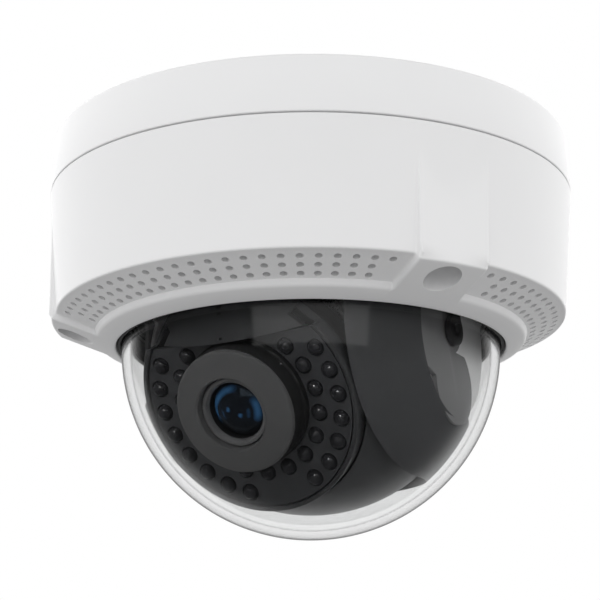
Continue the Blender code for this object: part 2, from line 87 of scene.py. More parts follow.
# The pictured pose: the lens looks towards this azimuth and this far below level
LOOK_AZIMUTH = -30.0
LOOK_DOWN = 32.3
BALL = Matrix.Rotation(math.radians(LOOK_AZIMUTH), 4, "Z") @ Matrix.Translation((0, 0, BALL_Z))
LENS = BALL @ Matrix.Rotation(math.radians(90.0 + LOOK_DOWN), 4, "X")
ACROSS = Matrix.Rotation(math.radians(90), 4, "Y")
HERE = Matrix.Identity(4)


# --- mesh tools ----------------------------------------------------------------------------
def at(radius, azimuth, z=0.0):
    """The point at this distance from the axis and this azimuth."""
    angle = math.radians(azimuth)
    return Vector((radius * math.sin(angle), -radius * math.cos(angle), z))


def arc(radius, start, end, count, centre_z=0.0):
    """Profile points round a centre on the axis, from one elevation to another."""
    found = []
    for i in range(count + 1):
        angle = math.radians(start + (end - start) * i / count)
        found.append((max(radius * math.cos(angle), 0.0), centre_z + radius * math.sin(angle)))
    return found


def bend(centre, radius, angles):
    """Outline points round a centre at the given angles."""
    x, y = centre
    return [(x + radius * math.cos(math.radians(a)), y + radius * math.sin(math.radians(a))) for a in angles]


def rounded(corners, count=4):
    """Turns (r, z, setback) corners into a profile whose corners are eased over the setback."""
    found = []
    for i, (r, z, setback) in enumerate(corners):
        if not setback:
            found.append((r, z))
            continue
        here = Vector((r, z))
        before = Vector(corners[i - 1][:2]) - here
        after = Vector(corners[(i + 1) % len(corners)][:2]) - here
        start = here + before.normalized() * min(setback, before.length * 0.49)
        end = here + after.normalized() * min(setback, after.length * 0.49)
        for step in range(count + 1):
            t = step / count
            point = start * (1 - t) ** 2 + here * 2 * t * (1 - t) + end * t ** 2
            found.append((point.x, point.y))
    return found


def skin(bm, rings, closed):
    """Quads between neighbouring rings of vertices. A ring of one vertex makes a fan."""
    pairs = list(zip(rings, rings[1:]))
    if closed:
        pairs.append((rings[-1], rings[0]))
    for a, b in pairs:
        count = max(len(a), len(b))
        if count == 1:
            continue
        for i in range(count):
            j = (i + 1) % count
            corners = [a[i % len(a)], a[j % len(a)], b[j % len(b)], b[i % len(b)]]
            bm.faces.new(list(dict.fromkeys(corners)))


def lathe(profile, steps=96):
    """A closed body turned from (r, z) points."""
    bm = bmesh.new()
    rings = []
    for r, z in profile:
        turns = [0] if r < 1e-6 else [360 * i / steps for i in range(steps)]
        rings.append([bm.verts.new(at(r, azimuth, z)) for azimuth in turns])
    skin(bm, rings, len(rings[0]) > 1)
    bmesh.ops.recalc_face_normals(bm, faces=bm.faces)
    return bm


def block(low, high, turn=0.0):
    """A box between two corners, turned about Z."""
    bm = bmesh.new()
    low = Vector(low)
    high = Vector(high)
    size = Matrix.Diagonal((high - low).to_4d())
    place = Matrix.Rotation(math.radians(turn), 4, "Z") @ Matrix.Translation((low + high) / 2) @ size
    bmesh.ops.create_cube(bm, size=1, matrix=place)
    return bm


def bar(radius, low, high, places=((0, 0),), sides=32, place=HERE):
    """Round bars along Z, from low to high, at each of the places."""
    bm = bmesh.new()
    for x, y in places:
        middle = place @ Matrix.Translation((x, y, (low + high) / 2))
        bmesh.ops.create_cone(bm, cap_ends=True, segments=sides, radius1=radius, radius2=radius,
                              depth=high - low, matrix=middle)
    return bm


def plate(outline, low, high):
    """An outline in X and Y raised from low to high."""
    bm = bmesh.new()
    face = bm.faces.new([bm.verts.new((x, y, low)) for x, y in outline])
    raised = bmesh.ops.extrude_face_region(bm, geom=[face])["geom"]
    verts = [item for item in raised if isinstance(item, bmesh.types.BMVert)]
    bmesh.ops.translate(bm, vec=(0, 0, high - low), verts=verts)
    bmesh.ops.recalc_face_normals(bm, faces=bm.faces)
    return bm


def placed(bm, matrix):
    bm.transform(matrix)
    return bm


def joined(*shapes):
    """The shapes in one mesh, as loose bodies."""
    whole = bmesh.new()
    for shape in shapes:
        mesh = bpy.data.meshes.new("join")
        shape.to_mesh(mesh)
        shape.free()
        whole.from_mesh(mesh)
        bpy.data.meshes.remove(mesh)
    return whole


def helper(bm):
    """A short-lived object for the modifiers to work on."""
    mesh = bpy.data.meshes.new("helper")
    bm.to_mesh(mesh)
    bm.free()
    obj = bpy.data.objects.new("helper", mesh)
    bpy.context.scene.collection.objects.link(obj)
    return obj


def evaluated(obj, others=()):
    """The object's mesh with its modifiers applied. The object and the others are removed."""
    bpy.context.view_layer.update()
    mesh = bpy.data.meshes.new_from_object(obj.evaluated_get(bpy.context.evaluated_depsgraph_get()))
    bm = bmesh.new()
    bm.from_mesh(mesh)
    bpy.data.meshes.remove(mesh)
    for old in (obj, *others):
        bpy.data.meshes.remove(old.data)
    bmesh.ops.remove_doubles(bm, verts=bm.verts, dist=0.0005)
    bmesh.ops.dissolve_degenerate(bm, edges=bm.edges, dist=0.0005)
    return bm


def carved(bm, operation, *shapes):
    """The body after one boolean with each shape in turn."""
    obj = helper(bm)
    others = [helper(shape) for shape in shapes]
    for other in others:
        modifier = obj.modifiers.new("carve", "BOOLEAN")
        modifier.operation = operation
        modifier.solver = "EXACT"
        modifier.object = other
    return evaluated(obj, others)


def eased(bm, width=0.2, segments=2, angle=30.0):
    """Rounds every edge sharper than the angle."""
    obj = helper(bm)
    modifier = obj.modifiers.new("ease", "BEVEL")
    modifier.limit_method = "ANGLE"
    modifier.angle_limit = math.radians(angle)
    modifier.width = width
    modifier.segments = segments
    modifier.use_clamp_overlap = True
    return evaluated(obj)


def piece(name, bm, body, mat, replaced=(), place=HERE, angle=38.0):
    """A finished visual piece on one of the CAD's bodies, with the CAD nodes that it stands for."""
    mesh = bpy.data.meshes.new(name)
    bm.transform(Matrix.Scale(MM, 4) @ place)
    bm.to_mesh(mesh)
    bm.free()
    mesh.shade_smooth()
    mesh.set_sharp_from_angle(angle=math.radians(angle))
    mesh.materials.append(mat)
    obj = bpy.data.objects.new(name, mesh)
    bpy.context.scene.collection.objects.link(obj)
    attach(obj, body)
    if replaced:
        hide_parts(*replaced)
    return obj


# --- materials -------------------------------------------------------------------------------
class Graph:
    """Arithmetic on a node tree's values."""

    def __init__(self, tree):
        self.nodes = tree.nodes
        self.links = tree.links

    def math(self, operation, *values):
        """The result of one Math node. A value is a number or another node's output."""
        node = self.nodes.new("ShaderNodeMath")
        node.operation = operation
        for socket, value in zip(node.inputs, values):
            if isinstance(value, (int, float)):
                socket.default_value = value
            else:
                self.links.new(value, socket)
        return node.outputs["Value"]

    def ramp(self, value, start, end, low, high):
        """Goes smoothly from low to high while the value goes from start to end."""
        node = self.nodes.new("ShaderNodeMapRange")
        node.interpolation_type = "SMOOTHSTEP"
        for socket, number in (("From Min", start), ("From Max", end), ("To Min", low), ("To Max", high)):
            node.inputs[socket].default_value = number
        self.links.new(value, node.inputs["Value"])
        return node.outputs["Result"]

    def band(self, value, low, high, edge):
        """1 between low and high, 0 outside, with a soft edge."""
        return self.math("MULTIPLY", self.ramp(value, low - edge, low + edge, 0, 1),
                         self.ramp(value, high - edge, high + edge, 1, 0))

    def tint(self, amount, colour):
        """Mixes a colour into the shader's own by the amount."""
        own = self.nodes["Principled BSDF"].inputs["Base Color"]
        mix = self.nodes.new("ShaderNodeMix")
        mix.data_type = "RGBA"
        self.links.new(amount, mix.inputs["Factor"])
        self.links.new(own.links[0].from_socket, mix.inputs["A"])
        mix.inputs["B"].default_value = (*colour, 1)
        self.links.new(mix.outputs["Result"], own)


def add_painted_rim_shade(mat):
    """Painted shade: darkens the clear plastic's colour where it is seen at a glancing angle, standing in
    for the dark rim that a thick shell shows as light bends through it.
    """
    graph = Graph(mat.node_tree)
    weight = graph.nodes.new("ShaderNodeLayerWeight")
    weight.inputs["Blend"].default_value = 0.5
    # Painted shade: the colour goes towards near black at a glancing angle
    graph.tint(graph.ramp(weight.outputs["Facing"], 0.83, 0.91, 0, 1), (0.03, 0.032, 0.032))


# Painted reflections on the lens: blue arcs, fainter inner arcs and two small glints near the middle
# Middle of each arc in degrees from the tilt axis, half its reach in radians, its inner and outer radius
# as shares of the glass's, and its strength
PAINTED_LENS_REFLECTIONS = (
    (118, 0.9, 0.68, 0.86, 0.9),
    (168, 0.8, 0.74, 0.9, 0.9),
    (-4, 0.7, 0.7, 0.88, 0.9),
    (186, 0.5, 0.44, 0.5, 0.35),
    (-14, 0.5, 0.48, 0.54, 0.35),
    (150, 0.5, 0.2, 0.28, 0.9),
    (-35, 0.45, 0.2, 0.28, 0.9),
)


def add_painted_lens_reflections(mat):
    """Painted reflections in the lens's colour: blue arcs round its axis, as its coated faces reflect the
    lights, and two small glints.
    """
    graph = Graph(mat.node_tree)
    where = graph.nodes.new("ShaderNodeTexCoord")
    local = graph.nodes.new("ShaderNodeMapping")
    local.vector_type = "TEXTURE"
    place = Matrix.Scale(MM, 4) @ LENS
    local.inputs["Location"].default_value = place.to_translation()
    local.inputs["Rotation"].default_value = place.to_euler()
    local.inputs["Scale"].default_value = (MM * GLASS_R,) * 3
    graph.links.new(where.outputs["Object"], local.inputs["Vector"])
    parts = graph.nodes.new("ShaderNodeSeparateXYZ")
    graph.links.new(local.outputs["Vector"], parts.inputs["Vector"])
    x, y = parts.outputs["X"], parts.outputs["Y"]
    radius = graph.math("SQRT", graph.math("MULTIPLY_ADD", x, x, graph.math("MULTIPLY", y, y)))
    turn = graph.math("ARCTAN2", y, x)
    arcs = 0.0
    for middle, reach, low, high, weight in PAINTED_LENS_REFLECTIONS:
        past = graph.math("SUBTRACT", turn, math.radians(middle))
        away = graph.math("ABSOLUTE", graph.math("WRAP", past, math.pi, -math.pi))
        along = graph.ramp(away, 0.3 * reach, reach, weight, 0)
        across = graph.band(radius, low, high, 0.08)
        arcs = graph.math("ADD", graph.math("MULTIPLY", along, across), arcs)
    # Painted reflection: the arcs and glints mix this blue into the lens's colour
    graph.tint(arcs, (0.05, 0.16, 0.34))


def material(name, colour, roughness, metallic=0.0, **look):
    """A Principled surface in the given linear colour, with a fine grain in colour, gloss and relief.

    grain and cloud are the sizes of the fine and the broad texture in mm, mottle is how far the
    colour strays, relief the depth of the bump in mm and scuff how far the roughness strays.
    """
    mat = bpy.data.materials.new(name)
    mat.use_nodes = True
    nodes = mat.node_tree.nodes
    links = mat.node_tree.links
    shader = nodes["Principled BSDF"]
    shader.inputs["Metallic"].default_value = metallic
    for socket in ("Transmission Weight", "IOR", "Coat Weight", "Specular Tint"):
        if socket in look:
            shader.inputs[socket].default_value = look[socket]
    where = nodes.new("ShaderNodeTexCoord")
    grain = nodes.new("ShaderNodeTexNoise")
    grain.inputs["Scale"].default_value = 1 / (look.get("grain", 0.4) * MM)
    grain.inputs["Detail"].default_value = 3.0
    links.new(where.outputs["Object"], grain.inputs["Vector"])
    cloud = nodes.new("ShaderNodeTexNoise")
    cloud.inputs["Scale"].default_value = 1 / (look.get("cloud", 14.0) * MM)
    cloud.inputs["Detail"].default_value = 4.0
    links.new(where.outputs["Object"], cloud.inputs["Vector"])

    mottle = look.get("mottle", 0.04)
    tint = nodes.new("ShaderNodeMix")
    tint.data_type = "RGBA"
    tint.inputs["A"].default_value = (*[value * (1 - mottle) for value in colour], 1)
    tint.inputs["B"].default_value = (*[min(value * (1 + mottle), 1) for value in colour], 1)
    links.new(cloud.outputs["Fac"], tint.inputs["Factor"])
    links.new(tint.outputs["Result"], shader.inputs["Base Color"])

    scuff = look.get("scuff", 0.05)
    gloss = nodes.new("ShaderNodeMapRange")
    gloss.inputs["From Min"].default_value = 0.3
    gloss.inputs["From Max"].default_value = 0.7
    gloss.inputs["To Min"].default_value = max(roughness - scuff, 0.0)
    gloss.inputs["To Max"].default_value = roughness + scuff
    links.new(grain.outputs["Fac"], gloss.inputs["Value"])
    links.new(gloss.outputs["Result"], shader.inputs["Roughness"])

    relief = look.get("relief", 0.02)
    if relief:
        bump = nodes.new("ShaderNodeBump")
        bump.inputs["Strength"].default_value = 0.6
        bump.inputs["Distance"].default_value = relief * MM
        links.new(grain.outputs["Fac"], bump.inputs["Height"])
        links.new(bump.outputs["Normal"], shader.inputs["Normal"])
    return mat


def metal(name, colour, roughness, metallic, grain, mottle, **look):
    """A smooth metal, with a shallow relief."""
    return material(name, colour, roughness, metallic, grain=grain, relief=0.005, mottle=mottle, **look)


white = material("white_powder_coat", (0.8, 0.8, 0.805), 0.42, grain=0.28, relief=0.006, mottle=0.012)
gasket_rubber = material("gasket_rubber", (0.006, 0.006, 0.0065), 0.6, grain=0.3, relief=0.01, mottle=0.2)
shield = material("shield_rubber", (0.082, 0.082, 0.083), 0.62, grain=0.18, relief=0.012, mottle=0.1)
bubble_clear = material("clear_bubble", (0.985, 0.99, 0.99), 0.0, grain=2.0, relief=0, scuff=0.0,
                        mottle=0.004, IOR=1.5, **{"Transmission Weight": 1.0})

dark = material("black_moulding", (0.06, 0.061, 0.064), 0.42, grain=0.22, relief=0.012, mottle=0.12)
crown_black = material("crown_moulding", (0.042, 0.043, 0.045), 0.36, grain=0.22, relief=0.01, mottle=0.1)
trim = material("trim_ring", (0.11, 0.11, 0.112), 0.5, grain=0.2, relief=0.006, mottle=0.1)
yoke_grey = material("yoke_moulding", (0.2, 0.2, 0.203), 0.45, grain=0.3, relief=0.012, mottle=0.06)
grey = material("grey_moulding", (0.17, 0.172, 0.175), 0.45, grain=0.3, relief=0.012, mottle=0.06)
nylon = material("ivory_nylon", (0.66, 0.63, 0.54), 0.5, grain=0.3, relief=0.01, mottle=0.05)
frosted = material("frosted_nylon", (0.93, 0.93, 0.93), 0.5, grain=0.3, relief=0.01, mottle=0.05,
                   IOR=1.3, **{"Transmission Weight": 0.3})

led_mask = material("led_board_mask", (0.046, 0.047, 0.05), 0.42, grain=0.5, relief=0.008, mottle=0.15)
led_resin = material("led_resin", (0.02, 0.02, 0.022), 0.05, grain=0.6, relief=0, mottle=0.3,
                     scuff=0.02, **{"Coat Weight": 0.6})
coated = material("coated_glass", (0.004, 0.005, 0.007), 0.015, grain=1.0, relief=0, mottle=0.2,
                  scuff=0.005, IOR=1.6, **{"Specular Tint": (0.5, 0.75, 1.0, 1.0), "Coat Weight": 0.5})
inner_glass = material("inner_glass", (0.008, 0.012, 0.03), 0.02, grain=1.0, relief=0, mottle=0.2,
                       scuff=0.01, IOR=1.8, **{"Specular Tint": (0.6, 0.75, 1.0, 1.0), "Coat Weight": 1.0})
laminate = material("green_laminate", (0.014, 0.11, 0.05), 0.4, grain=0.35, relief=0.01, mottle=0.2,
                    cloud=5.0)
silicon = material("sensor_die", (0.03, 0.05, 0.08), 0.08, 0.3, grain=0.1, relief=0.002, mottle=0.3)

anodised = material("barrel_anodised", (0.03, 0.03, 0.032), 0.34, 0.7, grain=0.15, relief=0.004,
                    mottle=0.15)
zinc = metal("zinc_plate", (0.56, 0.56, 0.58), 0.32, 1.0, 0.25, 0.1, scuff=0.1)
steel = metal("pivot_steel", (0.12, 0.12, 0.125), 0.4, 0.9, 0.25, 0.15)
brass = metal("turned_brass", (0.62, 0.45, 0.18), 0.3, 1.0, 0.2, 0.1)


# --- base ------------------------------------------------------------------------------------
def spaced(radius, azimuths):
    """The (x, y) places at one radius and each azimuth."""
    return [at(radius, azimuth)[:2] for azimuth in azimuths]


def make_base():
    profile = rounded([(0, 0, 0), (54.95, 0, 1.0), (SEAM_R, SEAM_Z, 0.35), (51.8, SEAM_Z, 0.1),
                       (51.8, -15.2, 0.2), (50.2, -15.2, 0.2), (50.0, -3.0, 0.6), (0, -3.0, 0)], 5)
    base = lathe(profile, 192)
    lug_places = spaced(SCREW_R, LUGS)
    post_places = spaced(29, (0, 120, 240))
    ceiling_places = spaced(38, BETWEEN)
    base = carved(base, "UNION", bar(4.35, SEAM_Z + 0.25, -1.5, lug_places, 40),
                  bar(3.0, -7.7, -1.5, post_places, 28))
    # The screw holes are countersunk on the ceiling side
    sink = [(0, 0.5), (4.1, 0.5), (4.1, 0.0), (2.3, -1.6), (0, -1.6)]
    sinks = joined(*[placed(lathe(sink, 32), Matrix.Translation((x, y, 0))) for x, y in ceiling_places])
    return carved(base, "DIFFERENCE", bar(2.5, -17, -4.3, lug_places, 24),
                  bar(1.25, -9, -4, post_places, 20), bar(2.3, -4, 1, ceiling_places, 32), sinks,
                  bar(6.6, -4, 1, [(0, CABLE_Y)], 48), bar(1.15, -4, -0.8, spaced(22.2, (60, 180, 300)), 20))


piece("base_casting", make_base(), "base", white, ["mounting_base"])
bush = rounded([(6.3, -0.3, 0.3), (6.3, -3.2, 0.05), (8.0, -3.2, 0.3), (8.0, -4.6, 0.4), (3.5, -4.6, 0.5),
                (4.1, -2.4, 0.6), (3.5, -0.3, 0.3)])
piece("cable_bush", placed(lathe(bush, 64), Matrix.Translation((0, CABLE_Y, 0))), "base", gasket_rubber,
      ["cable_grommet"])
cord = rounded([(52.1, -13.4, 0.3), (52.75, -13.4, 0.3), (52.75, -14.6, 0.3), (52.1, -14.6, 0.3)])
piece("seal_cord", lathe(cord, 128), "base", gasket_rubber, ["cover_seal"])


# --- cover -------------------------------------------------------------------------------------
WALL_ROWS = 14
WALL_TOP = SEAM_Z - 0.3
WALL_DEPTH = 24.9
# Outer and inner edge of the perforated band
BAND_FROM = (52.8, -38.3)
BAND_TO = (45.4, -41.6)
# Each row of holes in the band: radius, reach to each side in degrees and number of holes
HOLE_ROWS = ((51.2, 47.5, 25), (48.9, 43.5, 23), (46.6, 43.5, 23))
HOLE_R = 0.76


def ring_cone(r):
    """Height of the cone that the inner ring and the lugs' pads share."""
    return -39.15 - (55.0 - r) * 0.388


def cover_profiles():
    """The cover's outer profile, and the one through a lug, point for point. A lug point gives its
    distance from the axis measured square to the lug's face, or None where it follows the body."""
    body = []
    lug = []
    for i in range(WALL_ROWS + 1):
        t = i / WALL_ROWS
        body.append((55.45 - 1.85 * t, WALL_TOP - t * WALL_DEPTH))
        lug.append((LUG_FACE, WALL_TOP - t * (WALL_DEPTH + 1.0 if t > 0.8 else WALL_DEPTH)))
    # Foot of the wall, rounded into the perforated band, against the lug's lower edge
    foot = rounded([(53.6, -37.2, 0), (53.55, -38.1, 0.75), BAND_FROM + (0,)], 6)[1:]
    edge = rounded([(LUG_FACE, -38.2, 0), (LUG_FACE, ring_cone(LUG_FACE) + 0.02, 0.45),
                    (53.3, ring_cone(53.3), 0)], 6)[1:]
    body += foot
    lug += edge
    for t in (0.33, 0.66, 1.0):
        r = BAND_FROM[0] + (BAND_TO[0] - BAND_FROM[0]) * t
        body.append((r, BAND_FROM[1] + (BAND_TO[1] - BAND_FROM[1]) * t))
        lug.append((r, ring_cone(r)))
    step = rounded([BAND_TO + (0,), (45.0, -42.9, 0.5), (43.5, -43.62, 0.8),
                    (42.2, ring_cone(42.2), 0)], 4)[1:]
    for r, z in step:
        body.append((r, z))
        lug.append((r, min(z, ring_cone(r))))
    tail = rounded([(42.2, ring_cone(42.2), 0), (41.0, -44.62, 0.5), (40.8, -43.9, 0.3),
                    (40.8, -41.2, 0.1), (44.2, -41.2, 0.1), (44.2, -39.8, 0.1), (50.9, -37.0, 0.4),
                    (52.0, -36.2, 0.4), (53.2, WALL_TOP, 0)], 3)[1:]
    body += tail
    lug += [None] * len(tail)
    return body, lug


# Across a lug's side: distance past the side plane, and how much of the lug's height is left
SIDE = ((-0.8, 1.0), (-0.45, 0.99), (-0.22, 0.93), (-0.07, 0.8), (0.0, 0.6), (0.05, 0.35), (0.12, 0.17),
        (0.28, 0.05), (0.5, 0.01), (0.8, 0.0))
SECTOR_COLUMNS = 34


def cover_columns():
    """A column's lug azimuth, side, offset from the lug's middle or None, share of the way to the next
    lug or None, and weight of the lug's profile."""
    found = []
    for azimuth in LUGS:
        half = [(x, None, 1.0) for x in (1.4, 2.8, 4.2, 5.4, 6.4)]
        half += [(LUG_HALF + past, None, weight) for past, weight in SIDE]
        half += [(None, i / SECTOR_COLUMNS, 0.0) for i in range(1, SECTOR_COLUMNS)]
        found += [(azimuth, -1, *column) for column in reversed(half)]
        found.append((azimuth, 1, 0.0, None, 1.0))
        found += [(azimuth, 1, *column) for column in half]
        found.append((azimuth, 1, None, 1.0, 0.0))
    return found


def cover_point(column, body, lug):
    """Where a column meets a row, blended from the body's profile and the lug's."""
    azimuth, side, offset, share, weight = column
    r, z = body
    if lug is not None and weight > 0:
        lug_r, lug_z = lug
        if lug_r == LUG_FACE:
            reach = min((offset or 0.0), LUG_HALF)
            lug_r = max(math.hypot(LUG_FACE, reach), r)
        r += (lug_r - r) * weight
        z += (min(lug_z, z) - z) * weight
    past_edge = math.degrees(math.asin((LUG_HALF + SIDE[-1][0]) / r))
    if offset is not None:
        turn = math.degrees(math.asin(offset / r))
    else:
        turn = past_edge + (60.0 - past_edge) * share
    return at(r, azimuth + side * turn, z)


def perforations():
    """Blind round holes square to the band, in three rows over each sector between two lugs."""
    width = BAND_FROM[0] - BAND_TO[0]
    drop = BAND_TO[1] - BAND_FROM[1]
    slope = math.atan2(drop, width)
    shapes = []
    for middle in (-30.0, 90.0, 210.0):
        for radius, reach, count in HOLE_ROWS:
            z = BAND_FROM[1] + drop * (BAND_FROM[0] - radius) / width
            for i in range(count):
                azimuth = middle - reach + 2 * reach * i / (count - 1)
                facing = Matrix.Rotation(math.radians(azimuth), 4, "Z") @ Matrix.Rotation(slope, 4, "X")
                place = Matrix.Translation(at(radius, azimuth, z)) @ facing
                shapes.append(bar(HOLE_R, -2.4, 1.5, sides=16, place=place))
    return joined(*shapes)


def make_cover():
    body, lug = cover_profiles()
    columns = cover_columns()
    bm = bmesh.new()
    rings = [[bm.verts.new(cover_point(column, *pair)) for column in columns] for pair in zip(body, lug)]
    skin(bm, rings, True)
    bmesh.ops.recalc_face_normals(bm, faces=bm.faces)
    lug_places = spaced(SCREW_R, LUGS)
    bm = carved(bm, "UNION", bar(4.55, -39.2, -15.6, lug_places, 40))
    return carved(bm, "DIFFERENCE", perforations(), bar(3.7, -50, -26.5, lug_places, 48),
                  bar(2.1, -30, -10, lug_places, 32))


piece("cover_casting", make_cover(), "cover", white, ["cover_shell"], angle=32)
lip = rounded([(39.9, -40.25, 0.1), (44.0, -40.25, 0.2), (44.0, -41.05, 0.2), (40.65, -41.05, 0.1),
               (40.65, -44.1, 0.3), (39.9, -44.2, 0.3)])
piece("bubble_gasket", lathe(lip, 160), "cover", gasket_rubber, ["dome_gasket"])

# The bubble's rim gets painted shade
add_painted_rim_shade(bubble_clear)
flange = rounded([(BUBBLE_IN, -40.0, 0), (BUBBLE_IN, -38.5, 0.3), (44.0, -38.5, 0.3), (44.0, -40.1, 0.3),
                  (BUBBLE_OUT, -40.1, 0.3)])[1:]
bubble = arc(BUBBLE_IN, -90, 0, 56, BALL_Z) + flange + arc(BUBBLE_OUT, 0, -90, 56, BALL_Z)
shell = piece("bubble_shell", lathe(bubble, 192), "cover", bubble_clear, ["dome_bubble"])
shell.visible_shadow = False


def screw(head_r, head, shaft_r, tip, sides=40):
    """A cross-recessed pan-head screw driven along +Z: head is (low, high), tip the end of its shaft."""
    low, high = head
    pitch = 0.5
    profile = [(0, tip), (shaft_r * 0.7, tip)]
    z = tip - 0.2
    while z > high + 0.5:
        profile += [(shaft_r, z), (shaft_r * 0.86, z - pitch / 2)]
        z -= pitch
    profile += [(shaft_r, high), (head_r, high), (head_r, low + 0.35 * (high - low)),
                (head_r * 0.86, low + 0.08 * (high - low)), (head_r * 0.6, low), (0, low)]
    arm = head_r * 0.6
    width = head_r * 0.13
    depth = (high - low) * 0.62
    cross = [block((-arm, -width, low - 1), (arm, width, low + depth)),
             block((-width, -arm, low - 1), (width, arm, low + depth))]
    return carved(lathe(profile, sides), "DIFFERENCE", *cross)


washer = rounded([(2.1, -26.65, 0.2), (3.4, -26.65, 0.25), (3.4, -27.35, 0.25), (2.1, -27.35, 0.2)])
for number, azimuth in enumerate(LUGS, 1):
    spot = Matrix.Translation(at(SCREW_R, azimuth))
    piece(f"captive_screw_{number}", screw(3.3, (-30.6, -27.5), 1.6, -5.2), "cover", zinc,
          [f"cover_screw_{number}"], spot)
    piece(f"screw_washer_{number}", lathe(washer, 40), "cover", gasket_rubber,
          [f"screw_seal_{number}"], spot)


# --- ball liner, yoke and tilt stage -------------------------------------------------------------
def sphere(radius, steps=128, rings=64):
    """A ball whose poles lie on the tilt axis."""
    profile = arc(radius, 90, -90, rings)
    profile[0] = (0, radius)
    profile[-1] = (0, -radius)
    return placed(lathe(profile, steps), ACROSS)


def make_liner():
    """A hollow ball without its top. The slot for the lens ends in a half round, each side has a round
    opening drawn out to the back, and the left side is cut low."""
    top = block((-60, -60, 4), (60, 60, 60))
    slot = [block((-SLOT_HALF, -60, -60), (SLOT_HALF, SLOT_END_Y, 20)),
            bar(SLOT_HALF, -60, 0, [(0, SLOT_END_Y)], 160)]
    left_side = block((-60, -60, -13), (-22, 60, 10))
    openings = [bar(17.5, -60, 60, [(0, 2)], 96, ACROSS), bar(17.0, -60, 60, [(0, 12)], 96, ACROSS)]
    bm = carved(sphere(LINER_OUT), "DIFFERENCE", sphere(LINER_IN), top, *slot, left_side, *openings)
    return eased(bm, 0.18, 2, 40)


piece("liner_ball", make_liner(), "pan_stage", dark, ["ball_liner"], BALL)


def make_yoke():
    """A bridge with two arms. Each arm hangs past its pivot and ends in a round foot."""
    outline = [(-23.27, 1.5), (-4.5, 1.5)]
    outline += bend((0, 0), 4.6, range(160, 25, -12))
    outline += bend((10.5, 1.0), 8.2, range(140, -91, -10))
    outline += [(9.0, -12.0), (3.0, -15.5), (-23.27, -15.5)]
    arms = [placed(plate(outline, *ends), ACROSS) for ends in ((-ARM_OUT, -ARM_IN), (ARM_IN, ARM_OUT))]
    bridge = block((-ARM_OUT, -12.5, -22.0 - BALL_Z), (ARM_OUT, 12.5, -20.5 - BALL_Z))
    bm = carved(bridge, "UNION", *arms)
    # The arms' edges keep clear of the bubble
    bm = carved(bm, "INTERSECT", carved(sphere(37.2), "UNION", block((-33, -13, 10), (33, 13, 30))))
    bm = carved(bm, "DIFFERENCE", bar(2.1, -40, 40, sides=28, place=ACROSS),
                bar(1.45, 18, 28, [(-18, 0), (18, 0)], 20))
    return eased(bm, 0.25, 2, 45)


def make_cheeks():
    """A disc against the inside of each arm, holed for the pivot."""
    discs = []
    for side in (-1, 1):
        disc = rounded([(0, side * CHEEK_IN, 0), (CHEEK_R, side * CHEEK_IN, 0.3),
                        (CHEEK_R, side * CHEEK_OUT, 0.3), (0, side * CHEEK_OUT, 0)])
        discs.append(placed(lathe(disc, 96), Matrix.Translation((0, 2, 0)) @ ACROSS))
    return carved(joined(*discs), "DIFFERENCE", bar(2.3, -40, 40, sides=28, place=ACROSS))


piece("yoke_strap", make_yoke(), "pan_stage", yoke_grey, ["yoke"], BALL)
piece("yoke_cheeks", make_cheeks(), "pan_stage", frosted, (), BALL)


def make_module_shell():
    """The hollow half ball that carries the lens module, with a round boss at each pivot."""
    wall = 1.5
    hollow = carved(sphere(SHELL_IN, 96, 48), "INTERSECT",
                    block((wall - SHELL_HALF, -50, -50), (SHELL_HALF - wall, 50, 50)))
    bm = carved(sphere(SHELL_OUT), "INTERSECT", block((-SHELL_HALF, -50, -20), (SHELL_HALF, 6, 50)))
    bm = carved(bm, "UNION", bar(4.0, -28.3, 28.3, sides=32, place=ACROSS))
    bm = carved(bm, "DIFFERENCE", hollow, bar(PLATE_R + 0.35, 8, 50, sides=96),
                block((-40, -7.3, 8), (40, 7.3, 50)), bar(1.45, -40, 40, sides=20, place=ACROSS))
    return eased(bm, 0.15, 2, 40)


piece("lens_pod", make_module_shell(), "tilt_stage", dark, ["module_shell"], LENS)
pin = rounded([(0, 33.0, 0), (1.0, 33.0, 0), (1.2, 33.6, 0.15), (3.2, 33.6, 0.35), (3.2, 32.42, 0.15),
               (1.9, 32.42, 0), (1.9, 30.3, 0), (1.2, 30.3, 0), (1.2, 24.5, 0.2), (0, 24.5, 0)])
for side, turn in (("left", -90), ("right", 90)):
    piece(f"pivot_screw_{side}", lathe(pin, 40), "tilt_stage", steel, [f"tilt_screw_{side}"],
          LENS @ Matrix.Rotation(math.radians(turn), 4, "Y"))


# --- lens module ---------------------------------------------------------------------------------
def led_places():
    """Middles of the lamps: two rings, without those that the crown would cover."""
    radius, gap_at, half_gap, pitch, count = OUTER_RING
    found = [(radius, gap_at + side * (half_gap + pitch * i)) for side in (-1, 1) for i in range(count)]
    radius, first, count = INNER_RING
    found += [(radius, first + 360 / count * i) for i in range(count)]
    spots = [(r * math.cos(math.radians(angle)), r * math.sin(math.radians(angle))) for r, angle in found]
    return [(x, y) for x, y in spots if y < CHORD - 2.25]


CROWN_SLOTS = (-48, 48)


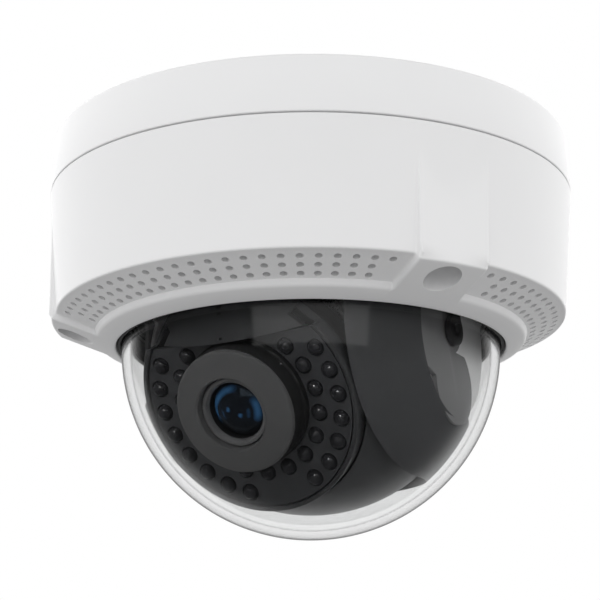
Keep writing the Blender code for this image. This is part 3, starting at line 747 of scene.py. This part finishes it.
def make_housing():
    """The lamp bezel: a stepped ring, and above CHORD a crown that carries on the ball's outline."""
    profile = rounded([(22.3, 28.9, 0.25), (PLATE_R, 28.9, 0.35), (PLATE_R, 25.2, 0.2), (18.2, 15.6, 0),
                       (18.2, 12.4, 0), (15.0, 12.4, 0), (15.0, 10.2, 0), (14.2, 10.2, 0), (14.2, 9.0, 0),
                       (15.0, 9.0, 0), (15.0, 8.0, 0), (8.0, 8.0, 0), (8.0, 14.0, 0), (16.4, 14.0, 0),
                       (16.4, 15.9, 0), (21.0, 24.7, 0), (21.0, 26.9, 0), (22.3, 26.9, 0)])
    cap = arc(SHELL_OUT, 90, 48.2, 24)
    cap[0] = (0, SHELL_OUT)
    upper = block((-40, CHORD, 20), (40, 40, 50))
    crown = carved(lathe(cap + [(cap[-1][0], 25.3), (0, 25.3)], 128), "INTERSECT", upper.copy())
    beyond = arc(SHELL_OUT, 30, 90, 30)
    beyond[-1] = (0, SHELL_OUT)
    outer = carved(lathe([(0, 42), (34, 42), (34, beyond[0][1])] + beyond, 128), "INTERSECT", upper)
    bm = carved(lathe(profile, 128), "UNION", crown)
    slots = [block((-2.7, 20.57, 26.17), (2.7, 22.13, 37), turn) for turn in CROWN_SLOTS]
    bm = carved(bm, "DIFFERENCE", *slots, outer, block((-2.6, -24, 27.6), (2.6, -22.75, 28.3)))
    return eased(bm, 0.12, 2, 42)


piece("lamp_bezel", make_housing(), "lens_module", crown_black, ["led_housing"], LENS)
catches = joined(*[block((-2.6, 20.7, 26.0), (2.6, 22.0, 26.5), turn) for turn in CROWN_SLOTS])
piece("bezel_catches", catches, "lens_module", gasket_rubber, (), LENS)


def make_led_board():
    """The flat board, with a tapered well round each lamp."""
    disc = lathe([(7.6, LED_FACE), (22.0, LED_FACE), (22.0, 27.2), (7.6, 27.2)], 128)
    bm = carved(disc, "DIFFERENCE", block((-40, CHORD - 0.3, 20), (40, 40, 40)))
    well = [(0, 30), (2.0, 30), (1.78, LED_FACE), (1.7, 27.9), (0, 27.9)]
    wells = [placed(lathe(well, 28), Matrix.Translation((x, y, 0))) for x, y in led_places()]
    return carved(bm, "DIFFERENCE", joined(*wells))


def make_lamps():
    """A domed resin lamp on a collar in each well."""
    lamp = rounded([(0, 27.95, 0), (1.66, 27.95, 0), (1.66, 28.2, 0.05), (1.42, 28.2, 0), (1.42, 28.55, 0)])
    lamp += arc(1.42, 12, 90, 9, 28.5)
    lamp[-1] = (0, lamp[-1][1])
    return joined(*[placed(lathe(lamp, 28), Matrix.Translation((x, y, 0))) for x, y in led_places()])


def make_baffle():
    """The soft ring between the lens and the lamps. Its front runs just inside the bubble."""
    front = [(r, math.sqrt(BAFFLE_R ** 2 - r * r)) for r in (7.6, 8.5, 9.5, 10.5, 11.5)]
    side = rounded([front[-1] + (0,), (12.5, 34.75, 0.8), (12.5, 28.9, 0.2), (7.15, 28.9, 0)])[1:]
    return lathe([(7.15, 35.3), (7.3, 35.95)] + front + side, 128)


def make_skirt():
    """A thin sleeve round the foot of the baffle."""
    return lathe(rounded([(12.3, 33.9, 0), (12.62, 33.9, 0.1), (12.62, 30.2, 0.2), (13.05, 29.8, 0.1),
                          (13.05, 28.5, 0.1), (12.3, 28.5, 0)]), 128)


def make_barrel():
    return lathe(rounded([(0, 31.0, 0), (6.0, 31.0, 0.1), (6.0, 33.6, 0.1), (6.9, 33.6, 0.15),
                          (6.9, 17.9, 0.3), (0, 17.9, 0)]), 72)


def make_bezel():
    return lathe(rounded([(5.8, 34.0, 0.1), (6.2, 34.85, 0.3), (6.9, 34.85, 0.2), (6.9, 33.7, 0.1),
                          (5.8, 33.7, 0.1)]), 96)


def make_front_glass():
    """A domed front over a hollow back."""
    spread = 52
    glass = []
    for angle in range(0, spread + 1, 4):
        r = GLASS_R * math.sin(math.radians(angle)) / math.sin(math.radians(spread))
        glass.append((r, 34.9 - 1.1 * GLASS_R * (1 - math.cos(math.radians(angle)))))
    glass += [(GLASS_R, 32.2), (GLASS_R, 31.6), (3.6, 32.2), (2.0, 32.9), (0, 33.1)]
    return lathe(glass, 96)


def make_rear_glass():
    rim = 3.4
    glass = [(r, 31.1 + 1.5 * (1 - (r / rim) ** 2)) for r in (0, 0.8, 1.6, 2.4, 3.0, rim)]
    return lathe(glass + [(rim, 31.08), (0, 31.08)], 64)


def make_aperture():
    return lathe(rounded([(3.45, 31.05, 0), (5.3, 31.05, 0), (5.3, 31.3, 0), (3.5, 31.3, 0.1)]), 64)


# The front lens gets painted reflections: blue arcs and two small glints
add_painted_lens_reflections(coated)
for name, shape, mat, slot, replaced, angle in (
        ("lamp_board", make_led_board(), led_mask, "led_board", ["led_board"], 38),
        ("infrared_lamps", make_lamps(), led_resin, "led_board", (), 50),
        ("light_baffle", make_baffle(), shield, "shield_rubber", ["light_shield"], 38),
        ("baffle_skirt", make_skirt(), gasket_rubber, "black_rubber", (), 38),
        ("lens_tube", make_barrel(), anodised, "black_anodised", ["lens_barrel"], 38),
        ("lens_bezel", make_bezel(), trim, "shield_rubber", ["lens_trim_ring"], 38),
        ("lens_element", make_front_glass(), coated, "coated_glass", ["front_lens"], 60),
        ("rear_element", make_rear_glass(), inner_glass, "coated_glass", (), 50),
        ("aperture_ring", make_aperture(), anodised, "black_anodised", (), 38)):
    piece(name, shape, "lens_module", mat, replaced, LENS, angle)


# --- carried-over CAD nodes -------------------------------------------------------------------
def keep(mat, width, *names):
    """A CAD node that is shown as it is, with its own finish and its edges eased."""
    for name in names:
        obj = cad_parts[name]
        obj.data.materials.clear()
        obj.data.materials.append(mat)
        weld = obj.modifiers.new("weld", "WELD")
        weld.merge_threshold = 0.00001
        ease = obj.modifiers.new("ease", "BEVEL")
        ease.limit_method = "ANGLE"
        ease.angle_limit = math.radians(35)
        ease.width = width * MM
        ease.segments = 2


keep(laminate, 0.1, "main_board", "sensor_board")
keep(zinc, 0.15, "card_socket", "pan_clip", "roll_clip", "tilt_bracket")
keep(dark, 0.1, "memory_card", "reset_switch", "lens_holder")
keep(nylon, 0.15, "reset_button", "network_header", "power_terminal")
keep(grey, 0.2, "pan_seat", "pan_turntable", "clamp_ring")
keep(silicon, 0.05, "image_sensor")
keep(brass, 0.15, "threaded_insert_1", "threaded_insert_2", "threaded_insert_3")
for kind, count in (("board", 3), ("seat", 3), ("clamp", 3), ("yoke", 2), ("lens", 2)):
    keep(zinc, 0.1, *[f"{kind}_screw_{number}" for number in range(1, count + 1)])


# --- studio ---------------------------------------------------------------------------------------
# Strength of the light from below and above, and how it changes towards the back and the right
FILL_BELOW = 0.375
FILL_ABOVE = 2.06
FILL_BEHIND = 0.08
FILL_RIGHT = -0.04
# Brightness, in the clear parts, of the dark room, the wide panel and the lamp in front
ROOM = 0.03
PANEL = 0.34
LAMP = 30.0


def make_floor():
    """A pale sheet below, seen by the camera only."""
    bm = bmesh.new()
    bmesh.ops.create_grid(bm, x_segments=1, y_segments=1, size=6.0)
    mesh = bpy.data.meshes.new("floor")
    bm.to_mesh(mesh)
    bm.free()
    paper = material("floor_paper", (0.92, 0.92, 0.92), 0.8, grain=20.0, relief=0, mottle=0.01)
    mesh.materials.append(paper)
    floor = bpy.data.objects.new("floor", mesh)
    floor.location = (0, 0, -0.9)
    floor.visible_diffuse = False
    floor.visible_glossy = False
    floor.visible_transmission = False
    bpy.context.scene.collection.objects.link(floor)


def make_front_fill():
    """A weak panel below the front, which lights the outside only."""
    data = bpy.data.lights.new("front_fill", "AREA")
    data.shape = "RECTANGLE"
    data.size = 0.8
    data.size_y = 0.8
    data.energy = 0.8
    away = at(math.cos(math.radians(45)), 0, -math.sin(math.radians(45)))
    panel = bpy.data.objects.new("front_fill", data)
    panel.location = Vector((0, 0, -0.045)) + away * 0.85
    panel.rotation_euler = away.to_track_quat("Z", "Y").to_euler()
    panel.visible_glossy = False
    panel.visible_transmission = False
    bpy.context.scene.collection.objects.link(panel)


def soft_light(graph, x, y, z):
    """What lights the surfaces: bright from the side and above, dimmer from below and straight above."""
    light = graph.ramp(z, -0.25, 0.45, FILL_BELOW, FILL_ABOVE)
    light = graph.math("MULTIPLY", light, graph.ramp(z, 0.45, 1.0, 1.0, 0.0))
    light = graph.math("MULTIPLY", light, graph.math("MULTIPLY_ADD", y, FILL_BEHIND, 1.0))
    return graph.math("MULTIPLY", light, graph.math("MULTIPLY_ADD", x, FILL_RIGHT, 1.0))


def mirrored_room(graph, x, y, z, ray):
    """What the clear parts reflect and bend: a white sheet behind, and a dark room with a wide panel and
    a small lamp in front."""
    dimming = graph.math("MULTIPLY_ADD", ray.outputs["Is Reflection Ray"], -0.7, 1.0)
    sheet = graph.math("MULTIPLY", graph.ramp(y, 0.5, 0.9, ROOM, 1.0), dimming)
    ahead = graph.ramp(y, -0.3, -0.1, 1, 0)
    panel = graph.math("MULTIPLY", graph.band(x, -0.56, 0.56, 0.02), graph.band(z, -0.16, 0.4, 0.015))
    panel = graph.math("MULTIPLY", graph.math("MULTIPLY", panel, ahead), PANEL)
    lamp = graph.math("MULTIPLY", graph.band(x, -0.38, -0.14, 0.02), graph.band(z, 0.28, 0.42, 0.02))
    lamp = graph.math("MULTIPLY", graph.math("MULTIPLY", lamp, ahead), LAMP)
    return graph.math("ADD", graph.math("ADD", sheet, panel), lamp)


def make_world():
    """A white surround to the eye, with soft_light on the surfaces and mirrored_room in the clear parts."""
    world = bpy.data.worlds.new("studio")
    bpy.context.scene.world = world
    world.use_nodes = True
    graph = Graph(world.node_tree)
    where = graph.nodes.new("ShaderNodeTexCoord")
    parts = graph.nodes.new("ShaderNodeSeparateXYZ")
    graph.links.new(where.outputs["Generated"], parts.inputs["Vector"])
    way = [parts.outputs[axis] for axis in "XYZ"]
    ray = graph.nodes.new("ShaderNodeLightPath")

    bent = graph.math("MAXIMUM", ray.outputs["Is Transmission Ray"], ray.outputs["Is Singular Ray"])
    bent = graph.math("MULTIPLY", bent, graph.math("LESS_THAN", ray.outputs["Diffuse Depth"], 0.5))
    unbent = graph.math("SUBTRACT", 1.0, bent)
    strength = graph.math("ADD", graph.math("MULTIPLY", mirrored_room(graph, *way, ray), bent),
                          graph.math("MULTIPLY", soft_light(graph, *way), unbent))
    seen = ray.outputs["Is Camera Ray"]
    unseen = graph.math("SUBTRACT", 1.0, seen)
    strength = graph.math("ADD", graph.math("MULTIPLY", strength, unseen), seen)
    background = graph.nodes["Background"]
    background.inputs["Color"].default_value = (1, 1, 1, 1)
    graph.links.new(strength, background.inputs["Strength"])


def make_camera():
    """The view that was fitted to the photo's perspective."""
    data = bpy.data.cameras.new("camera")
    data.lens = 111.765
    data.sensor_width = 36.0
    data.clip_start = 0.01
    camera = bpy.data.objects.new("camera", data)
    camera.location = (0, -0.38102, -0.13976)
    camera.rotation_euler = (math.radians(105.623), 0, math.radians(0.342))
    bpy.context.scene.collection.objects.link(camera)
    bpy.context.scene.camera = camera


make_floor()
make_world()
make_front_fill()
make_camera()
bpy.context.scene.view_settings.view_transform = "Standard"
